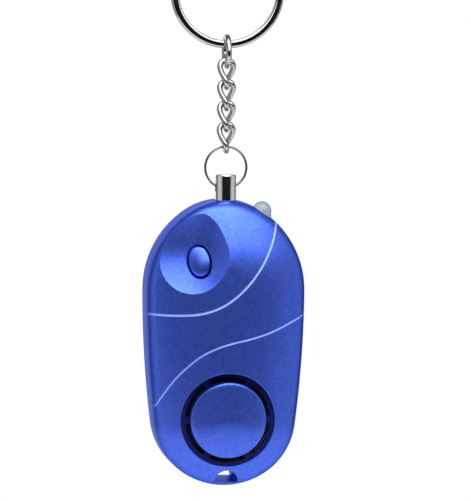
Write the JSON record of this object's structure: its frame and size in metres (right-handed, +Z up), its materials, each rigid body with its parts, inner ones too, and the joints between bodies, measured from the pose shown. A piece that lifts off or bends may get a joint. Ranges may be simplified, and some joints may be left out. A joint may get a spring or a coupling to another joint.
{
  "type": "personal safety alarm",
  "caption": "Pocket panic alarm: oval blue plastic body with thumb scoop, light button, round sounder grille, side lamp, chrome pull pin, curb chain and key ring.",
  "frame": {"origin": "inside top of the key ring's bore, where the alarm hangs from a hook", "axes": "+Z up along the chain, +X to the right seen from the front, +Y to the back; the sounder faces -Y"},
  "size_m": [0.0418, 0.0202, 0.1447],
  "materials": {
    "bright_steel": "bright nickel plate",
    "pin_chrome": "polished chrome",
    "blue_shell": "satin metallic blue",
    "blue_button": "satin metallic blue",
    "white_nylon": "plain",
    "black_plastic": "plain",
    "milky_lamp": "clear to milky resin",
    "plated_wire": "tinned",
    "board": "solder mask",
    "chip": "moulded",
    "ferrite": "matt",
    "chip_resistor": "matt",
    "can": "satin",
    "brass_disc": "rolled",
    "white_ceramic": "matt",
    "cell_steel": "satin",
    "contact_steel": "plated spring steel",
    "screw_steel": "zinc"
  },
  "bodies": {
    "key_ring": {"split_ring": "bright_steel"},
    "connector_ring": {"connector_ring": "bright_steel"},
    "chain_link_1": {"chain_link_1": "bright_steel"},
    "chain_link_2": {"chain_link_2": "bright_steel"},
    "chain_link_3": {"chain_link_3": "bright_steel"},
    "chain_link_4": {"chain_link_4": "bright_steel"},
    "pin_ring": {"pin_ring": "bright_steel"},
    "pull_pin": {"pull_pin_cap": "pin_chrome", "pull_pin_stem": "white_nylon"},
    "light_button": {"light_button": "blue_button", "switch_plunger": "black_plastic"},
    "housing": {"front_shell": "blue_shell", "back_shell": "blue_shell", "tact_switch_body": "black_plastic", "pin_socket": "white_nylon", "socket_contact_spring": "contact_steel", "led_lamp": "milky_lamp", "led_leads": "plated_wire", "circuit_board": "board", "siren_chip": "chip", "resistors": "chip_resistor", "step_up_coil": "ferrite", "drive_transistor": "chip", "capacitor": "can", "board_screws": "screw_steel", "case_screws": "screw_steel", "sounder_ring": "white_nylon", "sounder_diaphragm": "brass_disc", "piezo_ceramic": "white_ceramic", "battery_contact_positive": "contact_steel", "battery_contact_negative": "contact_steel", "battery_holder": "black_plastic", "button_cell_1": "cell_steel", "button_cell_2": "cell_steel", "button_cell_3": "cell_steel"}
  },
  "joints": [
    {"name": "connector_on_key_ring", "type": "hinge", "parent": "key_ring", "child": "connector_ring", "pos_m": [0, 0, -0.02685], "axis": [1, 0, 0], "range_deg": [-30, 30]},
    {"name": "link_1_on_connector", "type": "hinge", "parent": "connector_ring", "child": "chain_link_1", "pos_m": [0, 0, -0.03255], "axis": [0, 1, 0], "range_deg": [-40, 40]},
    {"name": "link_2_on_link_1", "type": "hinge", "parent": "chain_link_1", "child": "chain_link_2", "pos_m": [0, 0, -0.03648], "axis": [1, 0, 0], "range_deg": [-30, 30]},
    {"name": "link_3_on_link_2", "type": "hinge", "parent": "chain_link_2", "child": "chain_link_3", "pos_m": [0, 0, -0.04365], "axis": [0, 1, 0], "range_deg": [-40, 40]},
    {"name": "link_4_on_link_3", "type": "hinge", "parent": "chain_link_3", "child": "chain_link_4", "pos_m": [0, 0, -0.04758], "axis": [1, 0, 0], "range_deg": [-30, 30]},
    {"name": "pin_ring_on_link_4", "type": "hinge", "parent": "chain_link_4", "child": "pin_ring", "pos_m": [0, 0, -0.05475], "axis": [0, 1, 0], "range_deg": [-40, 40]},
    {"name": "pull_pin_on_ring", "type": "hinge", "parent": "pin_ring", "child": "pull_pin", "pos_m": [0, 0, -0.06436], "axis": [1, 0, 0], "range_deg": [-60, 60]},
    {"name": "housing_off_pin", "type": "slide", "parent": "pull_pin", "child": "housing", "axis": [0, 0, -1], "range_m": [0, 0.014]},
    {"name": "light_button_press", "type": "slide", "parent": "housing", "child": "light_button", "axis": [0, 1, 0], "range_m": [0, 0.0003], "stiffness_N_per_m": 3000}
  ]
}
